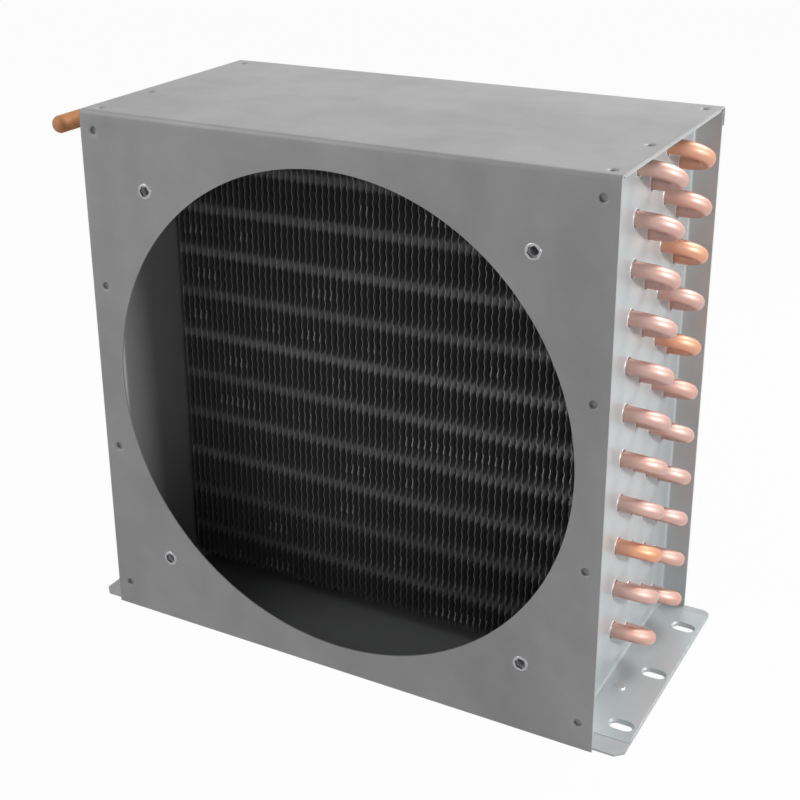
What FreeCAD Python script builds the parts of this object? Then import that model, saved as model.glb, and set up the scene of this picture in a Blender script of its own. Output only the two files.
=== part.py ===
import FreeCAD, Part
import math
import os
import re
import Sketcher

# Air-cooled refrigeration condenser: a fin-and-tube coil between two flanged
# side plates, closed by a folded shroud with a round fan opening and standing
# on a base plate with slotted feet.
# X is right, Y is back, Z is up, in millimetres. The origin is the centre of
# the casing's footprint, on the underside of the base plate.

DRIVING_SIZES = [
    ("casing_width", 292.0, "width of the folded shroud"),
    ("casing_height", 292.0, "height of the shroud above the floor"),
    ("casing_depth", 150.0, "front face to back lip"),
    ("shroud_sheet", 1.0, "thickness of the shroud sheet"),
    ("plate_sheet", 1.2, "thickness of the side plates"),
    ("base_sheet", 1.2, "thickness of the base plate"),
    ("bend_inside", 1.5, "inside radius of every sheet bend"),
    ("lip_height", 10.0, "depth of the lip folded down at the back"),
    ("opening_border", 15.2, "casing edge to the round fan opening"),
    ("fan_spacing", 214.0, "side of the square of fan nuts"),
    ("nut_bore", 4.2, "bore of a fan nut"),
    ("nut_barrel", 6.0, "width of a fan nut's barrel across flats"),
    ("nut_flange", 8.4, "width of a fan nut's flange across corners"),
    ("nut_flange_sheet", 0.4, "thickness of a fan nut's flange"),
    ("nut_depth", 9.0, "length of a fan nut's barrel"),
    ("nut_clearance", 0.05, "radial clearance of a fan nut in its hole"),
    ("joint_hole", 4.4, "diameter of a press joint's recess"),
    ("front_joint_inset", 8.0, "side edge to the front press joints"),
    ("front_joint_low", 14.4, "height of the lowest front press joints"),
    ("left_joint_third", 102.0, "height of the third front press joint on the left"),
    ("left_joint_second", 196.8, "height of the second one on the left"),
    ("right_joint_third", 99.5, "height of the third front press joint on the right"),
    ("right_joint_second", 185.5, "height of the second one on the right"),
    ("front_joint_top", 10.6, "roof to the highest front press joints"),
    ("top_joint_inset", 7.2, "side edge to the top press joints"),
    ("top_joint_first", 8.9, "front face to the first top press joint"),
    ("top_joint_left", 51.0, "front face to the second top press joint on the left"),
    ("top_joint_right", 57.0, "front face to the second top press joint on the right"),
    ("top_joint_third", 10.5, "back face to the third top press joint"),
    ("web_inset", 14.4, "casing edge to the outer face of a side plate's web"),
    ("flange_inset", 0.5, "casing edge to the tip of a side plate's flange"),
    ("corner_relief", 3.0, "gap between neighbouring flanges at a corner"),
    ("foot_projection", 14.8, "casing edge to the outer edge of a foot"),
    ("foot_front", 14.0, "front face to the side plate's foot flange"),
    ("foot_back", 7.0, "back face to the back end of the foot flange"),
    ("foot_step", 0.4, "edge of the base plate to the foot flange"),
    ("base_setback", 2.4, "front face to the front edge of the base plate"),
    ("foot_chamfer", 4.2, "chamfer on the front corners of the base plate"),
    ("foot_rounding", 5.0, "radius on the back corners of the base plate"),
    ("slot_length", 12.0, "length of a foot slot, across the casing"),
    ("slot_width", 7.0, "width of a foot slot"),
    ("slot_inset", 8.7, "outer edge of a foot to the centre of a slot"),
    ("slot_first", 25.0, "front face to the centre of the first slot"),
    ("slot_last", 25.0, "back face to the centre of the last slot"),
    ("slot_count", 3, "slots in a foot"),
    ("button_diameter", 4.8, "diameter of the button that joins foot and base"),
    ("button_rise", 1.0, "height of the button above the foot flange"),
    ("button_inset", 5.1, "casing edge to the button's centre"),
    ("button_place", 54.6, "front face to the button's centre"),
    ("button_clearance", 0.1, "radial clearance of the button in its hole"),
    ("coil_back", 9.6, "back face to the back edge of the fins"),
    ("tube_diameter", 7.94, "outside diameter of the coil's copper tube"),
    ("row_pitch", 21.65, "distance between tube rows, front to back"),
    ("tube_rows", 4, "tube rows, front to back"),
    ("tubes_in_row", 11, "tubes in each row"),
    ("tube_headroom", 12.9, "roof to the top tube of rows one and three"),
    ("coil_margin", 17.0, "height of the casing that the tube pitch leaves over"),
    ("tube_clearance", 0.05, "radial clearance of a tube in a side plate"),
    ("bend_lead", 3.3, "web to the start of a hairpin's bend"),
    ("tube_stub", 8.0, "web to the end of a tube on the left"),
    ("return_lead", 2.0, "straight length of a return bend's legs"),
    ("fin_pitch", 3.75, "distance between fins"),
    ("fin_sheet", 0.15, "thickness of a fin"),
    ("pipe_reach", 38.3, "left web to the centre of a connection pipe"),
    ("pipe_diameter", 9.52, "outside diameter of a connection pipe"),
    ("pipe_bend", 15.0, "centre line radius of a connection pipe's bend"),
    ("pipe_end", 25.0, "length of a connection pipe's round end"),
    ("pipe_end_chamfer", 2.2, "chamfer on the closed end of a pipe"),
    ("inlet_tip", 8.2, "front face to the closed end of the inlet pipe"),
    ("outlet_tip", 60.0, "front face to the closed end of the outlet pipe"),
]
NAMES = [name for name, size, meaning in DRIVING_SIZES]

# Tubes, their holes and the press joints repeat dozens of times, so their
# round sections are drawn with eight sides and their bends with straight spans.
ROUND_SIDES = 8
NUT_SIDES = 6
HALF_TURN_SPANS = 5
QUARTER_TURN_SPANS = 2
HALF_TURN = 180
QUARTER_TURN = 90

# Sizes and places that several pieces share, in words of the sheet.
OPENING = "(min(casing_width; casing_height) - 2*opening_border)"
OPENING_HEIGHT = "(casing_height/2)"
TUBE_PITCH = "((casing_height - coil_margin)/tubes_in_row)"
SLOT_PITCH = "((casing_depth - slot_first - slot_last)/(slot_count - 1))"
BACK = "(casing_depth/2)"
FRONT = "(-casing_depth/2)"
FRONT_INSIDE = "(-casing_depth/2 + shroud_sheet)"
BACK_INSIDE = "(casing_depth/2 - shroud_sheet)"
ROOF_INSIDE = "(casing_height - shroud_sheet)"
WEB_OUTSIDE = "(casing_width/2 - web_inset)"
WEB_INSIDE = "(casing_width/2 - web_inset - plate_sheet)"
FLANGE_TIP = "(casing_width/2 - flange_inset)"
FOOT_EDGE = "(casing_width/2 + foot_projection)"
SLOT_PLACE = "(casing_width/2 + foot_projection - slot_inset)"
FOOT_TOP = "(base_sheet + plate_sheet)"
COIL_FRONT = "(casing_depth/2 - coil_back - tube_rows*row_pitch)"
FIRST_ROW = f"({COIL_FRONT} + row_pitch/2)"
BEND_TILT = f"atan({TUBE_PITCH}/2/row_pitch)"
TUBE_END = "(casing_width/2 - web_inset + tube_stub)"
TOP_TUBE = "(casing_height - tube_headroom)"
LOWEST_TUBE = f"({TOP_TUBE} - (tubes_in_row - 1)*{TUBE_PITCH})"
LOWEST_OFFSET_TUBE = f"({LOWEST_TUBE} - {TUBE_PITCH}/2)"

# How close two places, volumes or directions have to be to count as one.
NEAR = 0.01
PARALLEL = 1e-6

AXIS_X = FreeCAD.Vector(1, 0, 0)
AXIS_Y = FreeCAD.Vector(0, 1, 0)
AXIS_Z = FreeCAD.Vector(0, 0, 1)

doc = FreeCAD.newDocument("condenser")
sheet = doc.addObject("Spreadsheet::Sheet", "sizes")
for line, (name, size, meaning) in enumerate(DRIVING_SIZES, start=1):
    sheet.set(f"A{line}", meaning)
    sheet.set(f"B{line}", str(size))
    sheet.setAlias(f"B{line}", name)
doc.recompute()


def bound(words):
    """Point every size name in an expression at the sheet."""
    def point(match):
        word = match.group(0)
        return "sizes." + word if word in NAMES else word
    return re.sub(r"[a-z_]+", point, str(words))


def number(words):
    """Work out what an expression is now."""
    value = sheet.evalExpression(bound(words))
    return float(value.Value if hasattr(value, "Value") else value)


def tie(item, **properties):
    """Bind properties to expressions; two underscores stand for a dot."""
    for name, words in properties.items():
        item.setExpression(name.replace("__", "."), bound(words))


def new_body(label):
    """Start a sub-part that may hold several separate solids."""
    body = doc.addObject("PartDesign::Body", label)
    body.Label = label
    body.AllowCompound = True
    return body


def origin_item(body, role):
    """Find an origin plane or axis of a body."""
    return next(item for item in body.Origin.OriginFeatures if item.Role == role)


def new_sketch(body, name, plane, offset="0"):
    """Put a sketch on an origin plane of its body, moved along its normal."""
    sketch = body.newObject("Sketcher::SketchObject", name)
    sketch.AttachmentSupport = (origin_item(body, plane), [""])
    sketch.MapMode = "FlatFace"
    tie(sketch, AttachmentOffset__Base__z=offset)
    return sketch


def place_point(sketch, item, end, across, up):
    """Tie one point of a sketch to its place."""
    for kind, words in (("DistanceX", across), ("DistanceY", up)):
        index = sketch.addConstraint(
            Sketcher.Constraint(kind, -1, 1, item, end, number(words)))
        sketch.setExpression(f"Constraints[{index}]", bound(words))


def draw_outline(sketch, points, closed=True):
    """Draw straight edges through points and tie every corner."""
    count = len(points)
    spots = [FreeCAD.Vector(number(across), number(up), 0) for across, up in points]
    last = count if closed else count - 1
    lines = []
    for index in range(last):
        edge = Part.LineSegment(spots[index], spots[(index + 1) % count])
        lines.append(sketch.addGeometry(edge))
    for index, line in enumerate(lines):
        place_point(sketch, line, 1, *points[index])
        if closed or index + 1 < last:
            follower = lines[(index + 1) % count]
            sketch.addConstraint(Sketcher.Constraint("Coincident", line, 2, follower, 1))
    if not closed:
        place_point(sketch, lines[-1], 2, *points[-1])


def draw_box(sketch, left, low, right, high):
    """Draw a rectangle between two opposite corners."""
    draw_outline(sketch, [(left, low), (right, low), (right, high), (left, high)])


def draw_circle(sketch, across, up, diameter):
    """Draw a circle and tie its centre and diameter."""
    centre = FreeCAD.Vector(number(across), number(up), 0)
    shape = Part.Circle(centre, FreeCAD.Vector(0, 0, 1), number(diameter) / 2)
    item = sketch.addGeometry(shape)
    place_point(sketch, item, 3, across, up)
    index = sketch.addConstraint(Sketcher.Constraint("Diameter", item, number(diameter)))
    sketch.setExpression(f"Constraints[{index}]", bound(diameter))


def draw_polygon(sketch, across, up, radius, sides=ROUND_SIDES, turn="0 deg"):
    """Draw a regular polygon with its corners on a circle of this radius."""
    step = 360 / sides
    draw_outline(sketch, [
        (f"{across} + ({radius})*cos({step * (side + 0.5)} deg + {turn})",
         f"{up} + ({radius})*sin({step * (side + 0.5)} deg + {turn})")
        for side in range(sides)])


def draw_slot(sketch, across, up):
    """Draw a foot slot: two straight sides and two round ends."""
    half = "(slot_length - slot_width)/2"
    high, low = f"{up} + slot_width/2", f"{up} - slot_width/2"
    right, left = f"{across} + {half}", f"{across} - {half}"
    upright = FreeCAD.Vector(0, 0, 1)
    radius = number("slot_width/2")
    top = sketch.addGeometry(Part.LineSegment(
        FreeCAD.Vector(number(right), number(high), 0),
        FreeCAD.Vector(number(left), number(high), 0)))
    bottom = sketch.addGeometry(Part.LineSegment(
        FreeCAD.Vector(number(left), number(low), 0),
        FreeCAD.Vector(number(right), number(low), 0)))
    ends = []
    for centre, start in ((left, math.pi / 2), (right, -math.pi / 2)):
        middle = FreeCAD.Vector(number(centre), number(up), 0)
        circle = Part.Circle(middle, upright, radius)
        arc = Part.ArcOfCircle(circle, start, start + math.pi)
        ends.append(sketch.addGeometry(arc))
    for first, first_end, second, second_end in (
            (top, 2, ends[0], 1), (ends[0], 2, bottom, 1),
            (bottom, 2, ends[1], 1), (ends[1], 2, top, 1)):
        sketch.addConstraint(
            Sketcher.Constraint("Tangent", first, first_end, second, second_end))
    place_point(sketch, ends[0], 3, left, up)
    sketch.addConstraint(Sketcher.Constraint("Horizontal", top))
    index = sketch.addConstraint(Sketcher.Constraint("Radius", ends[0], radius))
    sketch.setExpression(f"Constraints[{index}]", bound("slot_width/2"))
    index = sketch.addConstraint(Sketcher.Constraint(
        "DistanceX", ends[0], 3, ends[1], 3, number(f"2*{half}")))
    sketch.setExpression(f"Constraints[{index}]", bound(f"2*{half}"))


def pad(body, sketch, length, name="Pad", forward=True):
    """Raise a sketch along its normal, or against it."""
    feature = body.newObject("PartDesign::Pad", name)
    feature.Profile = sketch
    feature.Reversed = not forward
    tie(feature, Length=length)
    doc.recompute()
    return feature


def pocket(body, sketch, depth, name="Pocket", forward=False):
    """Cut a sketch into the body, against its normal or along it."""
    before = body.Shape.Volume
    feature = body.newObject("PartDesign::Pocket", name)
    feature.Profile = sketch
    feature.Reversed = forward
    tie(feature, Length=depth)
    doc.recompute()
    if body.Shape.Volume > before - NEAR:
        raise RuntimeError(f"{body.Label} {name} cuts nothing")
    return feature


def edges_along(shape, axis, places):
    """Name the straight edges that run along an axis through given places."""
    found = []
    for index, edge in enumerate(shape.Edges, start=1):
        if not isinstance(edge.Curve, Part.Line):
            continue
        if abs(abs(edge.tangentAt(edge.FirstParameter).dot(axis)) - 1) > PARALLEL:
            continue
        for place in places:
            gap = edge.CenterOfMass - place
            if (gap - axis * gap.dot(axis)).Length < NEAR:
                found.append(f"Edge{index}")
    return found


def round_edges(body, axis, places, radius, name):
    """Fillet the edges that run along an axis through given places."""
    base = body.Tip
    spots = [FreeCAD.Vector(*[number(words) for words in place]) for place in places]
    names = edges_along(base.Shape, axis, spots)
    if len(names) != len(places):
        raise RuntimeError(f"{body.Label} {name} finds {len(names)} edges")
    feature = body.newObject("PartDesign::Fillet", name)
    feature.Base = (base, names)
    tie(feature, Radius=radius)
    doc.recompute()
    return feature


def repeat(body, features, *runs):
    """Repeat features in one or two straight runs of (axis, spacing, count)."""
    patterns = []
    many = body.newObject("PartDesign::MultiTransform", "Repeats")
    for axis, spacing, count in runs:
        pattern = body.newObject("PartDesign::LinearPattern", "Run")
        pattern.Direction = (origin_item(body, axis), [""])
        pattern.Mode = "Spacing"
        tie(pattern, Offset=spacing, Occurrences=count)
        patterns.append(pattern)
    many.Originals = features
    many.Transformations = patterns
    body.Tip = many
    doc.recompute()
    return many


def make_shroud():
    """One sheet folded into front panel, top panel and back lip."""
    body = new_body("shroud")
    section = new_sketch(body, "Section", "YZ_Plane", "-casing_width/2")
    lip = "casing_height - lip_height"
    draw_outline(section, [
        (FRONT, "0"), (FRONT_INSIDE, "0"), (FRONT_INSIDE, ROOF_INSIDE),
        (BACK_INSIDE, ROOF_INSIDE), (BACK_INSIDE, lip), (BACK, lip),
        (BACK, "casing_height"), (FRONT, "casing_height")])
    pad(body, section, "casing_width", "Fold")
    round_edges(body, AXIS_X, [(0, FRONT, "casing_height"), (0, BACK, "casing_height")],
                "bend_inside + shroud_sheet", "OutsideBends")
    round_edges(body, AXIS_X, [(0, FRONT_INSIDE, ROOF_INSIDE), (0, BACK_INSIDE, ROOF_INSIDE)],
                "bend_inside", "InsideBends")
    opening = new_sketch(body, "OpeningOutline", "XZ_Plane", "casing_depth/2")
    draw_circle(opening, "0", OPENING_HEIGHT, OPENING)
    pocket(body, opening, "shroud_sheet", "FanOpening")
    nuts = new_sketch(body, "NutHoles", "XZ_Plane", "casing_depth/2")
    for across in ("-fan_spacing/2", "fan_spacing/2"):
        for up in (f"{OPENING_HEIGHT} - fan_spacing/2", f"{OPENING_HEIGHT} + fan_spacing/2"):
            draw_polygon(nuts, across, up,
                         f"(nut_barrel/2 + nut_clearance)/cos({HALF_TURN / NUT_SIDES})", NUT_SIDES)
    pocket(body, nuts, "shroud_sheet", "NutHolesCut")
    fronts = new_sketch(body, "FrontJoints", "XZ_Plane", "casing_depth/2")
    for hand, side in (("-", "left"), ("", "right")):
        across = f"{hand}(casing_width/2 - front_joint_inset)"
        for up in ("front_joint_low", f"{side}_joint_third", f"{side}_joint_second",
                   "casing_height - front_joint_top"):
            draw_polygon(fronts, across, up, "joint_hole/2")
    pocket(body, fronts, "shroud_sheet", "FrontJointsCut")
    tops = new_sketch(body, "TopJoints", "XY_Plane", "casing_height")
    for hand, side in (("-", "left"), ("", "right")):
        across = f"{hand}(casing_width/2 - top_joint_inset)"
        for place in (f"{FRONT} + top_joint_first", f"{FRONT} + top_joint_{side}",
                      f"{BACK} - top_joint_third"):
            draw_polygon(tops, across, place, "joint_hole/2")
    pocket(body, tops, "shroud_sheet", "TopJointsCut")


def make_base_plate():
    """Flat plate under the casing whose ends are the slotted feet."""
    body = new_body("base_plate")
    front = f"{FRONT} + base_setback"
    outline = new_sketch(body, "Outline", "XY_Plane")
    draw_box(outline, f"-{FOOT_EDGE}", front, FOOT_EDGE, BACK_INSIDE)
    pad(body, outline, "base_sheet", "Plate")
    corners = [FreeCAD.Vector(number(f"{hand}{FOOT_EDGE}"), number(front), 0)
               for hand in ("-", "")]
    base = body.Tip
    chamfer = body.newObject("PartDesign::Chamfer", "FrontCorners")
    chamfer.Base = (base, edges_along(base.Shape, AXIS_Z, corners))
    tie(chamfer, Size="foot_chamfer")
    doc.recompute()
    round_edges(body, AXIS_Z, [(f"-{FOOT_EDGE}", BACK_INSIDE, 0), (FOOT_EDGE, BACK_INSIDE, 0)],
                "foot_rounding", "BackCorners")
    slots = new_sketch(body, "SlotOutlines", "XY_Plane", "base_sheet")
    for hand in ("-", ""):
        draw_slot(slots, f"{hand}{SLOT_PLACE}", f"{FRONT} + slot_first")
    cut = pocket(body, slots, "base_sheet", "Slots")
    repeat(body, [cut], ("Y_Axis", SLOT_PITCH, "slot_count"))
    buttons = new_sketch(body, "ButtonOutlines", "XY_Plane", "base_sheet")
    for hand in ("-", ""):
        draw_polygon(buttons, f"{hand}(casing_width/2 - button_inset)",
                     f"{FRONT} + button_place", "button_diameter/2")
    pad(body, buttons, "plate_sheet + button_rise", "Buttons")


def make_side_plate(label, hand):
    """Tube sheet with front, back, top and foot flanges folded outwards."""
    body = new_body(label)
    front_low = f"{FRONT_INSIDE} + plate_sheet"
    back_low = f"{BACK_INSIDE} - plate_sheet"
    web_out, web_in = f"{hand}{WEB_OUTSIDE}", f"{hand}{WEB_INSIDE}"
    tip = f"{hand}{FLANGE_TIP}"
    section = new_sketch(body, "Section", "XY_Plane", "base_sheet")
    draw_outline(section, [
        (tip, FRONT_INSIDE), (web_in, FRONT_INSIDE), (web_in, BACK_INSIDE),
        (tip, BACK_INSIDE), (tip, back_low), (web_out, back_low),
        (web_out, front_low), (tip, front_low)])
    pad(body, section, f"{ROOF_INSIDE} - base_sheet", "Channel")
    round_edges(body, AXIS_Z, [(web_in, FRONT_INSIDE, 0), (web_in, BACK_INSIDE, 0)],
                "bend_inside + plate_sheet", "OutsideBends")
    round_edges(body, AXIS_Z, [(web_out, front_low, 0), (web_out, back_low, 0)],
                "bend_inside", "InsideBends")
    roof = new_sketch(body, "TopFlangeOutline", "XY_Plane", f"{ROOF_INSIDE} - plate_sheet")
    draw_box(roof, web_in, f"{front_low} + corner_relief", tip, f"{back_low} - corner_relief")
    pad(body, roof, "plate_sheet", "TopFlange")
    foot = new_sketch(body, "FootOutline", "XY_Plane", "base_sheet")
    draw_box(foot, web_in, f"{FRONT} + foot_front",
             f"{hand}({FOOT_EDGE} - foot_step)", f"{BACK} - foot_back")
    pad(body, foot, "plate_sheet", "Foot")
    round_edges(body, AXIS_Y, [(web_out, 0, FOOT_TOP), (web_out, 0, f"{ROOF_INSIDE} - plate_sheet")],
                "bend_inside", "FlangeBends")
    slot = new_sketch(body, "SlotOutline", "XY_Plane", FOOT_TOP)
    draw_slot(slot, f"{hand}{SLOT_PLACE}", f"{FRONT} + slot_first")
    cut = pocket(body, slot, "plate_sheet", "Slot")
    repeat(body, [cut], ("Y_Axis", SLOT_PITCH, "slot_count"))
    button = new_sketch(body, "ButtonHole", "XY_Plane", FOOT_TOP)
    draw_polygon(button, f"{hand}(casing_width/2 - button_inset)",
                 f"{FRONT} + button_place",
                 f"button_diameter/2 + button_clearance/cos({HALF_TURN / ROUND_SIDES})")
    pocket(body, button, "plate_sheet", "ButtonHoleCut")
    tubes = new_sketch(body, "TubeHoles", "YZ_Plane", web_in)
    reach = f"tube_diameter/2 + tube_clearance/cos({HALF_TURN / ROUND_SIDES})"
    for across, up in ((FIRST_ROW, LOWEST_TUBE),
                       (f"{FIRST_ROW} + row_pitch", LOWEST_OFFSET_TUBE)):
        draw_polygon(tubes, across, up, reach, turn=f"(-{BEND_TILT})")
    holes = pocket(body, tubes, "plate_sheet", "TubeHolesCut", forward=hand == "")
    repeat(body, [holes], ("Y_Axis", "2*row_pitch", "tube_rows/2"),
           ("Z_Axis", TUBE_PITCH, "tubes_in_row"))


def make_fin_pack():
    """Thin upright fins, evenly spaced between the two side plates."""
    body = new_body("fin_pack")
    room = f"(2*{WEB_INSIDE})"
    steps = f"floor(({room} - fin_pitch)/fin_pitch)"
    outline = new_sketch(body, "FinOutline", "YZ_Plane", f"-{steps}*fin_pitch/2 - fin_sheet/2")
    draw_box(outline, COIL_FRONT, f"{LOWEST_OFFSET_TUBE} - {TUBE_PITCH}/4",
             f"{BACK} - coil_back", f"{TOP_TUBE} + {TUBE_PITCH}/4")
    fin = pad(body, outline, "fin_sheet", "Fin")
    repeat(body, [fin], ("X_Axis", "fin_pitch", f"{steps} + 1"))


def bend_points(hand, start):
    """Corners of straight spans that follow a half turn from start."""
    turn = HALF_TURN / (HALF_TURN_SPANS + 1)
    radius = f"({TUBE_PITCH}/2)"
    reach = f"({radius}/cos({turn / 2}))"
    return [(f"{hand}({start} + {reach}*cos({turn * (corner + 0.5) - QUARTER_TURN}))",
             f"{radius} + {reach}*sin({turn * (corner + 0.5) - QUARTER_TURN})")
            for corner in range(HALF_TURN_SPANS + 1)]


def turned_sketch(body, name, plane, offset, axis, tilt):
    """Put a sketch on an origin plane, turned about an axis of its own."""
    sketch = new_sketch(body, name, plane, offset)
    sketch.AttachmentOffset = FreeCAD.Placement(
        FreeCAD.Vector(0, 0, number(offset)), FreeCAD.Rotation(axis, number(tilt)))
    tie(sketch, AttachmentOffset__Rotation__Angle=tilt)
    return sketch


def sweep_tube(body, path, spans, section):
    """Sweep a section along a path of straight spans with mitred corners."""
    doc.recompute()
    pipe = body.newObject("PartDesign::AdditivePipe", "Tube")
    pipe.Profile = section
    pipe.Spine = (path, [f"Edge{index + 1}" for index in range(spans)])
    pipe.Transition = "Right corner"
    doc.recompute()
    return pipe


def sweep_half_turn(body, hand, start, tilt):
    """Sweep the tube along two legs and the half turn between them."""
    points = [(f"-{TUBE_END}", "0")]
    points += bend_points(hand, start)
    points += [(f"-{TUBE_END}", TUBE_PITCH)]
    path = turned_sketch(body, "Path", "XY_Plane", "0", AXIS_X, tilt)
    draw_outline(path, points, closed=False)
    section = turned_sketch(body, "TubeSection", "YZ_Plane", f"-{TUBE_END}", AXIS_Z, tilt)
    draw_polygon(section, "0", "0", "tube_diameter/2")
    return sweep_tube(body, path, len(points) - 1, section)


def place_body(body, back_by, up):
    """Tie a body's place behind the front face and above the floor."""
    body.Placement = FreeCAD.Placement(
        FreeCAD.Vector(0, number(back_by), number(up)), FreeCAD.Rotation())
    tie(body, Placement__Base__y=back_by, Placement__Base__z=up)


def make_hairpin(label, row, level):
    """Copper tube bent double: two legs through the fins, one half turn."""
    body = new_body(label)
    sweep_half_turn(body, "", f"{WEB_OUTSIDE} + bend_lead", f"-{BEND_TILT}")
    place_body(body, f"{FIRST_ROW} + {row}*row_pitch", f"{TOP_TUBE} - {level}*{TUBE_PITCH}")


def make_return_bends(label, row, height, tilt, spacing, count):
    """Short half turns brazed to the tube ends on the left, one above another."""
    body = new_body(label)
    pipe = sweep_half_turn(body, "-", f"{TUBE_END} + return_lead", tilt)
    repeat(body, [pipe], ("Z_Axis", spacing, count))
    place_body(body, f"{FIRST_ROW} + {row}*row_pitch", height)


def make_pipe(label, row, height, tip):
    """Connection pipe: out of the coil, a quarter turn, and a closed end."""
    body = new_body(label)
    row_place = f"({FIRST_ROW} + {row}*row_pitch)"
    far = f"({WEB_OUTSIDE} + pipe_reach)"
    end = f"({FRONT} + {tip} - {row_place})"
    step = QUARTER_TURN / (QUARTER_TURN_SPANS + 1)
    reach = f"(pipe_bend/cos({step / 2}))"
    points = [(f"-{TUBE_END}", "0")]
    points += [(f"-({far} - pipe_bend) - {reach}*sin({step * (corner + 0.5)})",
                f"-pipe_bend + {reach}*cos({step * (corner + 0.5)})")
               for corner in range(QUARTER_TURN_SPANS + 1)]
    points += [(f"-{far}", f"{end} + pipe_end")]
    path = new_sketch(body, "Path", "XY_Plane")
    draw_outline(path, points, closed=False)
    section = new_sketch(body, "TubeSection", "YZ_Plane", f"-{TUBE_END}")
    draw_polygon(section, "0", "0", "pipe_diameter/2")
    sweep_tube(body, path, len(points) - 1, section)
    round_end = new_sketch(body, "EndOutline", "XZ_Plane", f"-({end} + pipe_end)")
    draw_circle(round_end, f"-{far}", "0", "pipe_diameter")
    pipe = pad(body, round_end, "pipe_end", "RoundEnd")
    tip_edge = [f"Edge{index}" for index, edge in enumerate(pipe.Shape.Edges, start=1)
                if abs(edge.CenterOfMass.y - number(end)) < NEAR]
    closed = body.newObject("PartDesign::Chamfer", "ClosedEnd")
    closed.Base = (pipe, tip_edge)
    tie(closed, Size="pipe_end_chamfer")
    place_body(body, row_place, height)


def make_fan_nuts():
    """Four rivet nuts that hold the fan, flanges outside the front panel."""
    body = new_body("fan_nuts")
    flange = new_sketch(body, "FlangeOutline", "XZ_Plane")
    draw_polygon(flange, "0", "0", "nut_flange/2")
    outside = pad(body, flange, "nut_flange_sheet", "Flange")
    barrel = new_sketch(body, "BarrelOutline", "XZ_Plane")
    draw_polygon(barrel, "0", "0", f"nut_barrel/2/cos({HALF_TURN / NUT_SIDES})", NUT_SIDES)
    inside = pad(body, barrel, "nut_depth", "Barrel", forward=False)
    bore = new_sketch(body, "BoreOutline", "XZ_Plane", "nut_flange_sheet")
    draw_circle(bore, "0", "0", "nut_bore")
    hollow = pocket(body, bore, "nut_flange_sheet + nut_depth", "Bore")
    repeat(body, [outside, inside, hollow],
           ("X_Axis", "fan_spacing", 2), ("Z_Axis", "fan_spacing", 2))
    place_body(body, FRONT, f"{OPENING_HEIGHT} - fan_spacing/2")
    tie(body, Placement__Base__x="-fan_spacing/2")


def write_parts():
    """Stop on any failed object, then write each sub-part to its own file."""
    doc.recompute()
    for item in doc.Objects:
        if "Invalid" in item.State or "Error" in item.State:
            raise RuntimeError(f"{item.Label} failed: {item.State}")
    os.makedirs("parts", exist_ok=True)
    for body in doc.findObjects("PartDesign::Body"):
        if body.Shape.isNull() or not body.Shape.isValid():
            raise RuntimeError(f"{body.Label} has no valid shape")
        print(body.Label, len(body.Shape.Solids), round(body.Shape.Volume, 1))
        body.Shape.exportStep(f"parts/{body.Label}.step")


def main():
    """Build every sub-part and write it."""
    make_shroud()
    make_base_plate()
    make_side_plate("side_plate_left", "-")
    make_side_plate("side_plate_right", "")
    make_fin_pack()
    for column, row in (("front", 0), ("back", 2)):
        for level in range(int(number("tubes_in_row"))):
            make_hairpin(f"hairpin_{column}_{level + 1:02d}", row, level)
    pairs = "floor((tubes_in_row - 1)/2)"
    make_return_bends("return_bends_middle", 1, LOWEST_OFFSET_TUBE,
                      BEND_TILT, TUBE_PITCH, "tubes_in_row")
    make_return_bends("return_bends_back", 3,
                      f"{TOP_TUBE} - (2*{pairs} - 1/2)*{TUBE_PITCH}",
                      "90 deg", f"2*{TUBE_PITCH}", pairs)
    make_return_bends("return_bends_front", 0, f"{TOP_TUBE} - 2*{pairs}*{TUBE_PITCH}",
                      "90 deg", f"2*{TUBE_PITCH}", pairs)
    make_pipe("inlet_pipe", 0, TOP_TUBE, "inlet_tip")
    make_pipe("outlet_pipe", 3, LOWEST_OFFSET_TUBE, "outlet_tip")
    make_fan_nuts()
    write_parts()


main()
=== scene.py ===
import logging
import math
from collections.abc import Iterable, Sequence
from dataclasses import dataclass
from enum import Enum
from functools import cached_property

import bmesh
import bpy
from mathutils import Matrix, Vector


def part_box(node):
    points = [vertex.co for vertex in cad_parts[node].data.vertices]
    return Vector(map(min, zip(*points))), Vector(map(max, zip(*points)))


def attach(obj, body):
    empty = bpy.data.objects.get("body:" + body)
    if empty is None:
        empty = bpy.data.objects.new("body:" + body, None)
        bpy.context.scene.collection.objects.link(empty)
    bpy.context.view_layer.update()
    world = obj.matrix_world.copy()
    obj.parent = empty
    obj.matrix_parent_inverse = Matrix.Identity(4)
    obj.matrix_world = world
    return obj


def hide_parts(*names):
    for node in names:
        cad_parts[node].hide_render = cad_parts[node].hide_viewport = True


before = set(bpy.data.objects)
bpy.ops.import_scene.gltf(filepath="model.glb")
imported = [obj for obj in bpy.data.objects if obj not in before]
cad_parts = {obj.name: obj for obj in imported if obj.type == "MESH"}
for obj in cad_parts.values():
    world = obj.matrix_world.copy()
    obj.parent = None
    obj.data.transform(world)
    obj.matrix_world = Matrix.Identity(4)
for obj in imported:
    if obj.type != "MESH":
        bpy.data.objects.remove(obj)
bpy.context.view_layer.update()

LOG = logging.getLogger("condenser")
# Metres in a millimetre, and the distance, in millimetres, that spun points are welded over.
MM = 0.001
WELD = 0.001

RIGHT = Vector((1, 0, 0))
BACK = Vector((0, 1, 0))
UP = Vector((0, 0, 1))
# Points and faces are sorted along this direction, so that their order never changes.
ORDER = Vector((1, math.sqrt(2), math.sqrt(3)))

Colour = tuple[float, float, float]
Spot = tuple[float, float, float]
Fade = tuple[float, float, float, float]
Profile = tuple[tuple[float, float], ...]
Measures = tuple[float, ...]
Material = bpy.types.Material
Piece = bpy.types.Object
Shape = bmesh.types.BMesh

WHITE = (1.0, 1.0, 1.0, 1.0)


# Shader building

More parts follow.
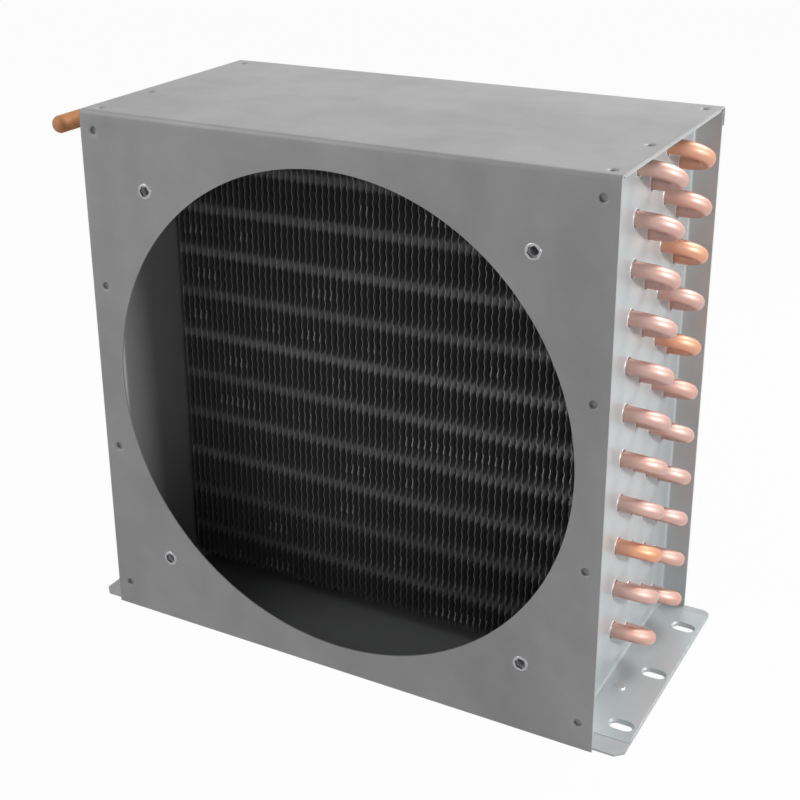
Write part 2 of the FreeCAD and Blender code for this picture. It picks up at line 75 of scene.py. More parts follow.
class Value:
    """A number or colour on its way through a shader; arithmetic adds Math nodes."""

    def __init__(self, tree: "ShaderTree", socket: bpy.types.NodeSocket) -> None:
        """Hold one output socket of a tree."""
        self.tree = tree
        self.socket = socket

    def _join(self, operation: str, first: "Operand", second: "Operand") -> "Value":
        """Add one Math node."""
        return self.tree.node("ShaderNodeMath", {"operation": operation}, {0: first, 1: second})

    def __add__(self, other: "Operand") -> "Value":
        """Sum."""
        return self._join("ADD", self, other)

    def __radd__(self, other: "Operand") -> "Value":
        """Sum, number first."""
        return self._join("ADD", other, self)

    def __sub__(self, other: "Operand") -> "Value":
        """Difference."""
        return self._join("SUBTRACT", self, other)

    def __mul__(self, other: "Operand") -> "Value":
        """Product."""
        return self._join("MULTIPLY", self, other)

    def __abs__(self) -> "Value":
        """Size without its sign."""
        return self._join("ABSOLUTE", self, 0.0)

    def cosine(self) -> "Value":
        """Cosine of an angle in radians."""
        return self._join("COSINE", self, 0.0)


Operand = Value | float


class ShaderTree:
    """The node tree of a material or world, and the calls that add nodes to it."""

    def __init__(self, owner: "Material | bpy.types.World") -> None:
        """Empty the tree of a new material or world."""
        owner.use_nodes = True
        self.owner = owner
        self.nodes = owner.node_tree.nodes
        self.links = owner.node_tree.links
        self.nodes.clear()

    @cached_property
    def place(self) -> Value:
        """Object coordinates, in metres."""
        return self.node("ShaderNodeTexCoord", {}, {}, "Object")

    def node(self, kind: str, settings: dict, inputs: dict, output: int | str = 0) -> Value:
        """Add one node.

        Args:
            kind: Blender's type name of the node.
            settings: Properties of the node; "stops" are a ramp's (place, grey) pairs.
            inputs: Numbers, colours or values for its sockets, by name or index.
            output: The socket that is handed on.

        Returns:
            The chosen output.
        """
        made = self.nodes.new(kind)
        for name, setting in settings.items():
            if name == "stops":
                self._set_stops(made.color_ramp, setting)
            else:
                setattr(made, name, setting)
        for key, value in inputs.items():
            if isinstance(value, Value):
                self.links.new(value.socket, made.inputs[key])
            else:
                made.inputs[key].default_value = value
        return Value(self, made.outputs[output] if made.outputs else None)

    @staticmethod
    def _set_stops(ramp: bpy.types.ColorRamp, stops: Sequence[tuple[float, float]]) -> None:
        """Give a ramp its (place, grey) stops, from left to right."""
        while len(ramp.elements) < len(stops):
            ramp.elements.new(1.0)
        for element, (place, grey) in zip(ramp.elements, stops):
            element.position = place
            element.color = (grey, grey, grey, 1.0)

    def noise(self, per_metre: float, detail: float, roughness: float,
              stretch: Spot = (1.0, 1.0, 1.0)) -> Value:
        """Add a noise in object space, with so many blotches to a metre."""
        where = self.node("ShaderNodeMapping", {}, {"Vector": self.place, "Scale": stretch})
        return self.node("ShaderNodeTexNoise", {}, {
            "Vector": where, "Scale": per_metre, "Detail": detail, "Roughness": roughness})

    def ramp(self, value: Value, *stops: tuple[float, float]) -> Value:
        """Send a value through (place, grey) stops."""
        return self.node("ShaderNodeValToRGB", {"stops": stops}, {"Fac": value})

    def fade(self, value: Value, start: float, end: float, first: float, last: float) -> Value:
        """Go from one level to another between two places given in millimetres."""
        return self.node("ShaderNodeMapRange", {}, {
            "Value": value, "From Min": start * MM, "From Max": end * MM,
            "To Min": first, "To Max": last})

    def along(self, axis: str) -> Value:
        """Give the place along one axis, in metres."""
        return self.node("ShaderNodeSeparateXYZ", {}, {"Vector": self.place}, axis)

    def blend(self, share: Operand, first: "Value | Colour", second: "Value | Colour") -> Value:
        """Mix two colours."""
        fill = [item if isinstance(item, Value) else (*item, 1.0) for item in (first, second)]
        return self.node("ShaderNodeMix", {"data_type": "RGBA", "clamp_factor": True},
                         {0: share, 6: fill[0], 7: fill[1]}, 2)

    def bump(self, height: Value, depth: float, strength: float) -> Value:
        """Turn a height from 0 to 1 into a bumped normal; depth is in metres."""
        return self.node("ShaderNodeBump", {}, {
            "Height": height, "Distance": depth, "Strength": strength}, "Normal")

    def finish(self, **sockets: "Operand | Colour") -> Material:
        """Close the tree with a Principled shader; its sockets have underscores for spaces."""
        inputs = {name.replace("_", " "): (*value, 1.0) if isinstance(value, tuple) else value
                  for name, value in sockets.items()}
        shader = self.node("ShaderNodeBsdfPrincipled", {}, inputs)
        self.node("ShaderNodeOutputMaterial", {}, {"Surface": shader})
        return self.owner


# Finishes

@dataclass(frozen=True)
class GalvanisedFinish:
    """Zinc-coated steel sheet: matte, faintly mottled, with dull smudges, and where asked painted
    shade on the surfaces inside the casing.
    """

    name: str
    pale: Colour
    dark: Colour
    metallic: float
    roughness: float
    smudge: float
    # Painted shade inside the casing: its share, its colour, and where it starts and fades.
    inside_shade: float = 0.0
    dust_and_shade: Colour = (0.10, 0.10, 0.10)
    shade_from: float = 131.3
    shade_fade: float = 0.8
    shade_rise: Fade = (0.3, 0.8, 0.0, 1.0)
    grain: float = 0.00002
    mottles: float = 55.0
    rubs: float = 14.0
    speckles: float = 1400.0
    dents: float = 300.0

    def material(self) -> Material:
        """Build the material."""
        tree = ShaderTree(bpy.data.materials.new(self.name))
        mottle = tree.ramp(tree.noise(self.mottles, 4, 0.6), (0.3, 0.0), (0.7, 1.0))
        rubbed = tree.ramp(tree.noise(self.rubs, 3, 0.55, (1.0, 1.0, 0.6)),
                           (0.42, 0.0), (0.68, 1.0))
        speckle = tree.noise(self.speckles, 2, 0.6)
        share = mottle * (0.35 - self.smudge / 2) + speckle * 0.3 + rubbed * self.smudge
        rough = self.roughness + rubbed * 0.08 + (speckle - 0.5) * 0.1
        height = speckle * 0.6 + tree.noise(self.dents, 3, 0.6) * 0.4
        skin = tree.blend(share, self.pale, self.dark)
        # Painted shade: surfaces between the side plates' outer faces and above the bottom face
        # blend towards the shade colour.
        if self.inside_shade:
            inside = tree.fade(abs(tree.along("X")), self.shade_from - self.shade_fade,
                               self.shade_from, 1.0, 0.0)
            above = tree.fade(tree.along("Z"), *self.shade_rise)
            skin = tree.blend(inside * above * self.inside_shade, skin, self.dust_and_shade)
        return tree.finish(
            Base_Color=skin, Metallic=self.metallic,
            Roughness=rough, Normal=tree.bump(height, self.grain, 0.5))


@dataclass(frozen=True)
class CopperFinish:
    """Drawn copper tube: pink, with warmer stretches and faint drawing lines."""

    name: str
    pink: Colour
    orange: Colour
    dull: Colour
    roughness: float
    orange_from: float
    metallic: float = 0.8
    grain: float = 0.00003
    stretches: float = 21.0
    clouds: float = 160.0
    lines: float = 900.0

    def material(self) -> Material:
        """Build the material."""
        tree = ShaderTree(bpy.data.materials.new(self.name))
        warm = tree.ramp(tree.noise(self.stretches, 1, 0.4), (self.orange_from, 0.0),
                         (self.orange_from + 0.12, 1.0))
        cloud = tree.ramp(tree.noise(self.clouds, 4, 0.6), (0.4, 0.0), (0.75, 1.0))
        lines = tree.noise(self.lines, 2, 0.5, (0.12, 1.0, 1.0))
        skin = tree.blend(warm, self.pink, self.orange)
        skin = tree.blend(cloud * 0.4, skin, self.dull)
        rough = self.roughness + cloud * 0.14 + (lines - 0.5) * 0.08
        return tree.finish(
            Base_Color=skin, Metallic=self.metallic, Roughness=rough,
            Normal=tree.bump(lines, self.grain, 0.4))


@dataclass(frozen=True)
class FinFinish:
    """Aluminium fins with painted light and shade: dark sides as painted shade, paler cut edges,
    painted light bands at the height of each tube and painted glints between them.
    """

    name: str
    # Colours: the sides' painted shade, the cut edges' own tone and the painted light bands.
    side: Colour
    edge: Colour
    painted_band_light: Colour
    front: float
    back: float
    edge_depth: float
    top: float = 279.1
    pitch: float = 25.0
    # Colour and reach of the painted glints on the fin fronts.
    glint: Colour = (0.95, 0.95, 0.95)
    glint_depth: float = 1.6
    right_light_fade: Fade = (-130.0, 60.0, 0.6, 1.0)
    bottom_shade_fade: Fade = (3.0, 48.0, 0.3, 1.0)
    grain: float = 0.00002
    wears: float = 260.0
    ripples: float = 330.0
    bands: float = 24.0
    clusters: float = 38.0
    dusts: float = 90.0
    grains: float = 700.0

    def material(self) -> Material:
        """Build the material."""
        tree = ShaderTree(bpy.data.materials.new(self.name))
        depth = tree.along("Y")
        to_front = tree.fade(depth, self.front, self.front + self.edge_depth, 1.0, 0.0)
        to_back = tree.fade(depth, self.back - self.edge_depth, self.back, 0.0, 1.0)
        # Depth over which the painted glints reach in from the front edge.
        near = tree.fade(depth, self.front, self.front + self.glint_depth, 1.0, 0.0)
        wear = tree.ramp(tree.noise(self.wears, 3, 0.6, (1.0, 1.0, 0.35)),
                         (0.3, 0.45), (0.65, 1.0))
        cut = to_front + to_back
        # Painted light: bright bands on the fins at the height of each front tube, with ragged
        # edges and random strength.
        ragged = tree.noise(self.ripples, 2, 0.6) - 0.5
        turns = (tree.along("Z") - self.top * MM) * (math.tau / (self.pitch * MM)) + ragged * 0.8
        level = tree.ramp(tree.noise(self.bands, 0, 0.5, (0.12, 0.12, 1.0)),
                          (0.32, 0.45), (0.62, 1.0))
        # The painted light is stronger to the right.
        side = tree.fade(tree.along("X"), *self.right_light_fade)
        # Painted shade: edges and bands darker towards the bottom.
        low = tree.fade(tree.along("Z"), *self.bottom_shade_fade)
        painted_band_light = tree.ramp(turns.cosine(), (0.66, 0.0), (0.98, 1.0)) * level * side * low
        # Painted glints: bright dashes on the fin fronts midway between the bands, in clusters.
        cluster = tree.ramp(tree.noise(self.clusters, 1, 0.5, (1.0, 0.0, 0.6)),
                            (0.54, 0.0), (0.6, 1.0))
        spark = tree.ramp(turns.cosine() * -1.0, (0.72, 0.0), (0.84, 1.0)) * cluster * near * side
        # The dark side colour is painted shade; the cut edges keep a paler aluminium tone and
        # brighten in the bands.
        skin = tree.blend(painted_band_light, self.side, self.painted_band_light)
        skin = tree.blend(cut * wear * low * (0.7 + painted_band_light * 0.3), skin, self.edge)
        skin = tree.blend(spark, skin, self.glint)
        dust_and_shade = tree.noise(self.dusts, 3, 0.5)
        return tree.finish(
            Base_Color=skin, Metallic=0.2, Roughness=0.5 + dust_and_shade * 0.2,
            Normal=tree.bump(tree.noise(self.grains, 2, 0.5), self.grain, 0.3))


@dataclass(frozen=True)
class PlatedFinish:
    """Bright zinc plating with fine handling marks."""

    name: str
    bright: Colour
    dull: Colour
    roughness: float
    grain: float = 0.00001
    scratches: float = 1100.0
    clouds: float = 260.0

    def material(self) -> Material:
        """Build the material."""
        tree = ShaderTree(bpy.data.materials.new(self.name))
        marks = tree.noise(self.scratches, 3, 0.6)
        cloud = tree.ramp(tree.noise(self.clouds, 3, 0.6), (0.35, 0.0), (0.7, 1.0))
        return tree.finish(
            Base_Color=tree.blend(cloud * 0.7, self.bright, self.dull), Metallic=0.9,
            Roughness=self.roughness + cloud * 0.12 + (marks - 0.5) * 0.08,
            Normal=tree.bump(marks, self.grain, 0.4))


class Slot(Enum):
    """Material slots of the part's record."""

    SHROUD = "shroud_sheet"
    SIDE = "side_sheet"
    BASE = "base_sheet"
    FINS = "fins"
    HAIRPIN = "tube_copper"
    RETURN = "return_copper"
    PIPE = "pipe_copper"
    NUT = "nut_plating"


FINISHES = {
    Slot.SHROUD: GalvanisedFinish("matte_shroud_zinc", (0.515, 0.515, 0.515), (0.31, 0.31, 0.315),
                                  0.14, 0.45, 0.25),
    # The side plates' inner faces carry painted shade.
    Slot.SIDE: GalvanisedFinish("pale_side_zinc", (0.59, 0.635, 0.65), (0.485, 0.52, 0.53),
                                0.3, 0.34, 0.15, 0.6, (0.42, 0.40, 0.39)),
    # The floor inside the casing carries painted shade.
    Slot.BASE: GalvanisedFinish("foot_zinc", (0.56, 0.57, 0.58), (0.42, 0.43, 0.44),
                                0.3, 0.45, 0.2, 0.7),
    # Painted shade on the fin sides, painted light bands and painted glints.
    Slot.FINS: FinFinish("fin_painted_light_and_shade", (0.185, 0.185, 0.185), (0.64, 0.64, 0.64),
                         (0.74, 0.74, 0.74), -21.2, 65.4, 0.4),
    Slot.HAIRPIN: CopperFinish("pink_copper", (0.66, 0.43, 0.375), (0.68, 0.41, 0.335),
                               (0.54, 0.365, 0.325), 0.44, 0.54),
    Slot.RETURN: CopperFinish("return_copper", (0.76, 0.46, 0.38), (0.74, 0.38, 0.22),
                              (0.45, 0.26, 0.20), 0.36, 0.5),
    Slot.PIPE: CopperFinish("orange_copper", (0.68, 0.32, 0.14), (0.66, 0.28, 0.10),
                            (0.44, 0.22, 0.11), 0.66, 0.5, 0.35),
    Slot.NUT: PlatedFinish("nut_zinc", (0.44, 0.44, 0.45), (0.30, 0.30, 0.31), 0.3),
}
WARM_COPPER = CopperFinish("warm_copper", (0.73, 0.39, 0.265), (0.76, 0.37, 0.215),
                           (0.58, 0.31, 0.24), 0.42, 0.5)
FUNNEL_FINISH = PlatedFinish("funnel_zinc", (0.72, 0.73, 0.74), (0.56, 0.57, 0.58), 0.36)
BUTTON_FINISH = PlatedFinish("button_zinc", (0.86, 0.87, 0.88), (0.68, 0.69, 0.70), 0.35)
SLEEVE_FINISH = PlatedFinish("sleeve_coat", (0.55, 0.55, 0.56), (0.35, 0.35, 0.36), 0.45)


# Mesh building

BEVEL_STEPS = 2
BEVEL_FROM = 40.0


class Crease(Enum):
    """Angles in degrees past which the edges of a piece stay sharp."""

    FOLDED = 30.0
    CUT = 35.0
    TURNED = 40.0
    PRESSED = 50.0
    TUBE = 60.0


class Hand(Enum):
    """The casing's two sides, by the sign of X."""

    LEFT = -1
    RIGHT = 1


def mesh_object(name: str, shape: Shape, crease: Crease = Crease.CUT) -> Piece:
    """Turn a finished bmesh into an object at the origin, in the same order every run.

    Args:
        name: The piece's name.
        shape: Its geometry, in metres and in place. It is used up.
        crease: Which edges stay sharp.

    Returns:
        The new object.
    """
    shape.verts.sort(key=lambda point: point.co.dot(ORDER))
    shape.faces.sort(key=lambda face: face.calc_center_median().dot(ORDER))
    mesh = bpy.data.meshes.new(name)
    shape.to_mesh(mesh)
    shape.free()
    mesh.polygons.foreach_set("use_smooth", [True] * len(mesh.polygons))
    mesh.set_sharp_from_angle(angle=math.radians(crease.value))
    piece = bpy.data.objects.new(name, mesh)
    bpy.context.scene.collection.objects.link(piece)
    return piece


def soften(piece: Piece, width: float) -> None:
    """Bevel the sharp edges of a piece by a width in millimetres."""
    bevel = piece.modifiers.new("cut_edges", "BEVEL")
    bevel.width = width * MM
    bevel.segments = BEVEL_STEPS
    bevel.limit_method = "ANGLE"
    bevel.angle_limit = math.radians(BEVEL_FROM)
    bevel.use_clamp_overlap = True
    bevel.harden_normals = True


def add_piece(piece: Piece, finish: Material, nodes: Sequence[str] = ()) -> None:
    """Dress a new piece and tell the frame about it.

    Args:
        piece: The object, in place.
        finish: Its material.
        nodes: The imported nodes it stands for.
    """
    piece.data.materials.clear()
    piece.data.materials.append(finish)
    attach(piece, "root")
    if nodes:
        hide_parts(*nodes)
    LOG.info("piece %s: %d faces, for %s", piece.name, len(piece.data.polygons),
             ", ".join(nodes) or "detail")


def spun(profile: Sequence[tuple[float, float]], sides: int, closed: bool) -> Shape:
    """Spin a profile about Z.

    Args:
        profile: (radius, height) points in millimetres, pole to pole or all round.
        sides: Steps of the full turn.
        closed: Whether the last point joins the first.

    Returns:
        A closed shape around the origin.
    """
    shape = bmesh.new()
    points = [shape.verts.new((radius * MM, 0, height * MM)) for radius, height in profile]
    pairs = list(zip(points, points[1:]))
    if closed:
        pairs.append((points[-1], points[0]))
    edges = [shape.edges.new(pair) for pair in pairs]
    bmesh.ops.spin(shape, geom=points + edges, cent=(0, 0, 0), axis=UP, dvec=(0, 0, 0),
                   angle=math.tau, steps=sides, use_merge=True, use_duplicate=False)
    bmesh.ops.remove_doubles(shape, verts=shape.verts, dist=WELD * MM)
    bmesh.ops.recalc_face_normals(shape, faces=shape.faces)
    return shape


def facing(direction: Vector, place: Spot) -> Matrix:
    """Turn Z towards a direction and move to a place in millimetres."""
    turn = UP.rotation_difference(direction).to_matrix().to_4x4()
    return Matrix.Translation(Vector(place) * MM) @ turn


def scattered(master: Shape, places: Iterable[Matrix]) -> Shape:
    """Copy a shape to many places.

    Args:
        master: The shape at the origin. It is used up.
        places: Where the copies go.

    Returns:
        One bmesh with every copy.
    """
    pattern = bpy.data.meshes.new("pattern")
    master.to_mesh(pattern)
    master.free()
    many = bmesh.new()
    for place in places:
        count = len(many.verts)
        many.from_mesh(pattern)
        many.verts.ensure_lookup_table()
        bmesh.ops.transform(many, matrix=place, verts=many.verts[count:])
    bpy.data.meshes.remove(pattern)
    return many


def joined(shapes: Iterable[Shape]) -> Shape:
    """Put several shapes into one.

    Args:
        shapes: The shapes. They are used up.

    Returns:
        One bmesh with all of them.
    """
    whole = bmesh.new()
    for shape in shapes:
        spare = bpy.data.meshes.new("spare")
        shape.to_mesh(spare)
        shape.free()
        whole.from_mesh(spare)
        bpy.data.meshes.remove(spare)
    return whole


def cut_out(piece: Piece, cutters: Shape) -> None:
    """Cut shapes out of a piece and keep the result as its mesh.

    Args:
        piece: The object to cut.
        cutters: Closed shapes that don't touch each other. They are used up.
    """
    tool = mesh_object("cutters", cutters)
    cut = piece.modifiers.new("cut", "BOOLEAN")
    cut.operation = "DIFFERENCE"
    cut.solver = "EXACT"
    cut.object = tool
    graph = bpy.context.evaluated_depsgraph_get()
    result = bpy.data.meshes.new_from_object(piece.evaluated_get(graph))
    piece.modifiers.clear()
    old = piece.data
    piece.data = result
    bpy.data.meshes.remove(old)
    bpy.data.objects.remove(tool)
    result.set_sharp_from_angle(angle=math.radians(Crease.CUT.value))


def rod(radius: float, length: float, sides: int) -> Shape:
    """Make a capped rod about Z, for cutting holes.

    Args:
        radius: Its radius in millimetres.
        length: Its length in millimetres, half of it on each side of the origin.
        sides: Points in its ring.

    Returns:
        The rod.
    """
    shape = bmesh.new()
    bmesh.ops.create_cone(shape, cap_ends=True, segments=sides, radius1=radius * MM,
                          radius2=radius * MM, depth=length * MM)
    return shape


class TubeRun:
    """A closed tube that grows ring by ring; each step hands the run itself on."""

    DOME_SWEEP = 85.0

    def __init__(self, start: Spot, heading: Vector, radius: float, sides: int = 24) -> None:
        """Cap the start of the tube.

        Args:
            start: Middle of the first ring, in millimetres.
            heading: The way it grows.
            radius: Outer radius in millimetres.
            sides: Points in a ring.
        """
        self.shape = bmesh.new()
        self.middle = Vector(start) * MM
        self.heading = heading.copy()
        bmesh.ops.create_circle(self.shape, cap_ends=True, segments=sides, radius=radius * MM,
                                matrix=facing(heading, start))
        self.ring = list(self.shape.edges)

    def _ends(self) -> list[bmesh.types.BMVert]:
        """Points of the last ring."""
        return list({point for edge in self.ring for point in edge.verts})

    def straight(self, length: float, swell: float = 1.0) -> "TubeRun":
        """Grow straight on.

        Args:
            length: How far, in millimetres.
            swell: How much wider the new ring is.
        """
        grown = bmesh.ops.extrude_edge_only(self.shape, edges=self.ring)["geom"]
        self.ring = [item for item in grown if isinstance(item, bmesh.types.BMEdge)]
        step = self.heading * length * MM
        bmesh.ops.translate(self.shape, verts=self._ends(), vec=step)
        self.middle += step
        if swell != 1.0:
            bmesh.ops.scale(self.shape, verts=self._ends(), vec=(swell, swell, swell),
                            space=Matrix.Translation(-self.middle))
        return self

    def turn(self, centre: Vector, axis: Vector, degrees: float, steps: int) -> "TubeRun":
        """Grow round a bend.

        Args:
            centre: Middle of the bend, in metres.
            axis: What it turns about.
            degrees: How far it turns.
            steps: Rings in the bend.
        """
        made = bmesh.ops.spin(self.shape, geom=self._ends() + self.ring, cent=centre, axis=axis,
                              dvec=(0, 0, 0), angle=math.radians(degrees), steps=steps,
                              use_merge=False, use_duplicate=False)
        self.ring = [item for item in made["geom_last"] if isinstance(item, bmesh.types.BMEdge)]
        spin = Matrix.Rotation(math.radians(degrees), 3, axis)
        self.heading = spin @ self.heading
        self.middle = centre + spin @ (self.middle - centre)
        return self

    def turn_back(self, beside: tuple[float, float], steps: int) -> "TubeRun":
        """Grow round half a circle.

        Args:
            beside: Y and Z of the place where it comes out, in millimetres.
            steps: Rings in the bend.
        """
        end = Vector((self.middle.x, *(side * MM for side in beside)))
        axis = self.heading.cross((end - self.middle).normalized())
        return self.turn((self.middle + end) / 2, axis, 180, steps)

    def dome(self, depth: float, steps: int) -> "TubeRun":
        """Round the end off.

        Args:
            depth: How far the rounded end reaches, in millimetres.
            steps: Rings in it.
        """
        angles = [math.radians(self.DOME_SWEEP) * step / steps for step in range(steps + 1)]
        for before, after in zip(angles, angles[1:]):
            self.straight(depth * (math.sin(after) - math.sin(before)),
                          math.cos(after) / math.cos(before))
        return self

    def close(self) -> Shape:
        """Cap the far end and hand the tube over."""
        bmesh.ops.contextual_create(self.shape, geom=self.ring)
        bmesh.ops.recalc_face_normals(self.shape, faces=self.shape.faces)
        return self.shape


# Pieces

@dataclass(frozen=True)
class CasingSizes:
    """Sizes of the folded casing, in millimetres."""

    width: float = 292.0
    height: float = 292.0
    depth: float = 150.0
    sheet: float = 1.0
    fold: float = 2.5
    lip: float = 10.0
    opening: float = 130.8
    fan_spacing: float = 214.0
    nut_hole: float = 3.3
    joint: float = 4.4
    joint_punch: float = 2.2
    joint_inset: float = 8.0
    left_joints: Measures = (14.4, 102.0, 196.8, 281.4)
    right_joints: Measures = (14.4, 99.5, 185.5, 281.4)
    top_joint_inset: float = 7.2
    left_top_joints: Measures = (8.9, 51.0, 139.5)
    right_top_joints: Measures = (8.9, 57.0, 139.5)
    slot_across: float = 152.1
    slot_reach: float = 2.5
    slot_places: Measures = (-50.0, 0.0, 50.0)
    slot_taper: Profile = ((3.6, 1.1), (4.3, 2.6))
    button: Spot = (140.9, -20.4, 2.4)
    round_sides: int = 32
    punch_sides: int = 24
    punch_length: float = 5.0

    def front(self) -> float:
        """Y of the front face."""
        return -self.depth / 2

    def joints(self, hand: Hand) -> list[Matrix]:
        """Places of one side's press joints, each facing out of the front or top face."""
        left = hand is Hand.LEFT
        heights = self.left_joints if left else self.right_joints
        depths = self.left_top_joints if left else self.right_top_joints
        edge = hand.value * (self.width / 2 - self.joint_inset)
        top_edge = hand.value * (self.width / 2 - self.top_joint_inset)
        return ([facing(-BACK, (edge, self.front(), up)) for up in heights]
                + [facing(UP, (top_edge, self.front() + back, self.height)) for back in depths])

    def punches(self, hand: Hand) -> Shape:
        """Rods for one side's press joints, in place."""
        return scattered(rod(self.joint_punch, self.punch_length, self.punch_sides),
                         self.joints(hand))

    def slot_reliefs(self, hand: Hand) -> Shape:
        """Tapered cutters that widen one foot's slots towards the top, in place."""
        cutter = bmesh.new()
        for along in (-self.slot_reach, self.slot_reach):
            for radius, height in self.slot_taper:
                bmesh.ops.create_circle(
                    cutter, segments=self.round_sides, radius=radius * MM,
                    matrix=Matrix.Translation((along * MM, 0, height * MM)))
        hull = bmesh.ops.convex_hull(cutter, input=cutter.verts)
        inside = [part for part in hull["geom_interior"] if isinstance(part, bmesh.types.BMVert)]
        bmesh.ops.delete(cutter, geom=inside, context="VERTS")
        return scattered(cutter, [facing(UP, (hand.value * self.slot_across, place, 0.0))
                                  for place in self.slot_places])

    def buttons(self) -> list[Matrix]:
        """Places of the clinched buttons that join each foot to the base plate."""
        across, back, up = self.button
        return [facing(UP, (hand.value * across, back, up)) for hand in Hand]

    def nuts(self) -> list[Matrix]:
        """Places of the fan nuts in the front face, facing forward."""
        half = self.fan_spacing / 2
        return [facing(-BACK, (x * half, self.front(), self.height / 2 + z * half))
                for x in (-1, 1) for z in (-1, 1)]


@dataclass(frozen=True)
class CoilSizes:
    """Places and sizes of the coil, in millimetres."""

    radius: float = 3.97
    pitch: float = 25.0
    row_pitch: float = 21.65
    first_row: float = -10.375
    top: float = 279.1
    levels: int = 11
    web: float = 131.6
    left_end: float = -139.6
    bend_lead: float = 3.3
    return_lead: float = 2.0
    rows: int = 4
    funnel: float = 4.95
    funnel_reach: float = 5.0
    funnel_sides: int = 24
    socket: float = 1.09
    socket_gap: float = 1.3
    socket_length: float = 6.5

    def roots(self, hand: Hand) -> list[Matrix]:
        """Places where the tubes leave one side plate, facing away from it."""
        return [facing(RIGHT * hand.value, (hand.value * self.web, *self.tube(row, level)))
                for row in range(self.rows) for level in range(self.levels)]

    def funnel_holes(self, hand: Hand) -> Shape:
        """Rods for the holes that one side's tube funnels sit in."""
        hole = rod(self.funnel, self.funnel_reach, self.funnel_sides)
        return scattered(hole, self.roots(hand))

    def tube(self, row: int, level: int) -> tuple[float, float]:
        """Y and Z of a tube's axis; rows count from the front, levels from the top."""
        drop = self.pitch / 2 if row % 2 else 0.0
        return self.first_row + row * self.row_pitch, self.top - level * self.pitch - drop


@dataclass
class Shroud:
    """Front panel, top panel and back lip, folded from one sheet."""

    sizes: CasingSizes
    finish: Material
    edge: float = 0.14
    fold_steps: int = 6
    opening_sides: int = 256
    reach: float = 4.0

    def build(self) -> None:
        """Fold the sheet, cut its openings and soften its edges."""
        piece = mesh_object("shroud_sheet_folded", self._folded())
        cut_out(piece, self._cutters())
        soften(piece, self.edge)
        add_piece(piece, self.finish, ["shroud"])

    def _folded(self) -> Shape:
        """Fold the sheet, without its openings."""
        size = self.sizes
        front, back, roof = size.front() * MM, size.depth / 2 * MM, size.height * MM
        shape = bmesh.new()
        left = -size.width / 2 * MM
        line = [shape.verts.new((left, y, z)) for y, z in (
            (front, 0), (front, roof), (back, roof), (back, roof - size.lip * MM))]
        for pair in zip(line, line[1:]):
            shape.edges.new(pair)
        bmesh.ops.bevel(shape, geom=line[1:3], offset=size.fold * MM, offset_type="OFFSET",
                        segments=self.fold_steps, profile=0.5, affect="VERTICES", material=-1)
        grown = bmesh.ops.extrude_edge_only(shape, edges=shape.edges[:])["geom"]
        moved = [item for item in grown if isinstance(item, bmesh.types.BMVert)]
        bmesh.ops.translate(shape, verts=moved, vec=(size.width * MM, 0, 0))
        bmesh.ops.recalc_face_normals(shape, faces=shape.faces)
        top = max(shape.faces, key=lambda face: face.calc_center_median().z)
        if top.normal.z < 0:
            bmesh.ops.reverse_faces(shape, faces=shape.faces)
        bmesh.ops.solidify(shape, geom=shape.faces[:], thickness=size.sheet * MM)
        bmesh.ops.recalc_face_normals(shape, faces=shape.faces)
        return shape

    def _cutters(self) -> Shape:
        """Rods for the fan opening, the nut holes and the press joints, in place."""
        size = self.sizes
        middle = facing(-BACK, (0.0, size.front(), size.height / 2))
        joints = [place for hand in Hand for place in size.joints(hand)]
        return joined((
            scattered(rod(size.opening, self.reach, self.opening_sides), [middle]),
            scattered(rod(size.nut_hole, self.reach, size.round_sides), size.nuts()),
            scattered(rod(size.joint, self.reach, size.round_sides), joints)))


@dataclass(frozen=True)
class Pressing:
    """A small form pressed into the sheets once and copied to many places."""

    name: str
    slot: Slot
    sides: int
    all_round: bool
    profile: Profile

    def build(self, finish: Material, places: Iterable[Matrix]) -> None:
        """Press one form and copy it to its places."""
        shape = scattered(spun(self.profile, self.sides, self.all_round), places)
        add_piece(mesh_object(self.name, shape, Crease.PRESSED), finish)


JOINT_CUPS = Pressing("press_joint_cups", Slot.SHROUD, 32, False, (
    (0, -2.3), (1.35, -2.27), (1.6, -2.1), (1.72, -1.6), (1.88, -0.95), (2.08, -0.55),
    (2.4, -0.3), (2.9, -0.16), (3.7, -0.07), (4.58, -0.02), (4.58, -0.5), (2.5, -0.95),
    (2.3, -2.6), (0, -2.8)))
TUBE_FUNNELS = Pressing("tube_sheet_funnels", Slot.SIDE, 24, True, (
    (5.3, -0.1), (5.26, 0.16), (5.05, 0.32), (4.75, 0.26), (4.48, -0.05), (4.28, -0.6),
    (4.18, -1.2), (4.12, -2.2), (4.3, -2.25), (4.5, -1.3), (5.1, -1.1)))
FOOT_BUTTONS = Pressing("foot_buttons", Slot.BASE, 32, False, (
    (0, -0.5), (0.9, -0.5), (1.35, -0.35), (1.6, 0.2), (1.7, 0.8), (1.9, 0.98), (2.15, 0.97),
    (2.34, 0.8), (2.42, 0.1), (2.6, 0.0), (2.6, -1.0), (0, -1.0)))


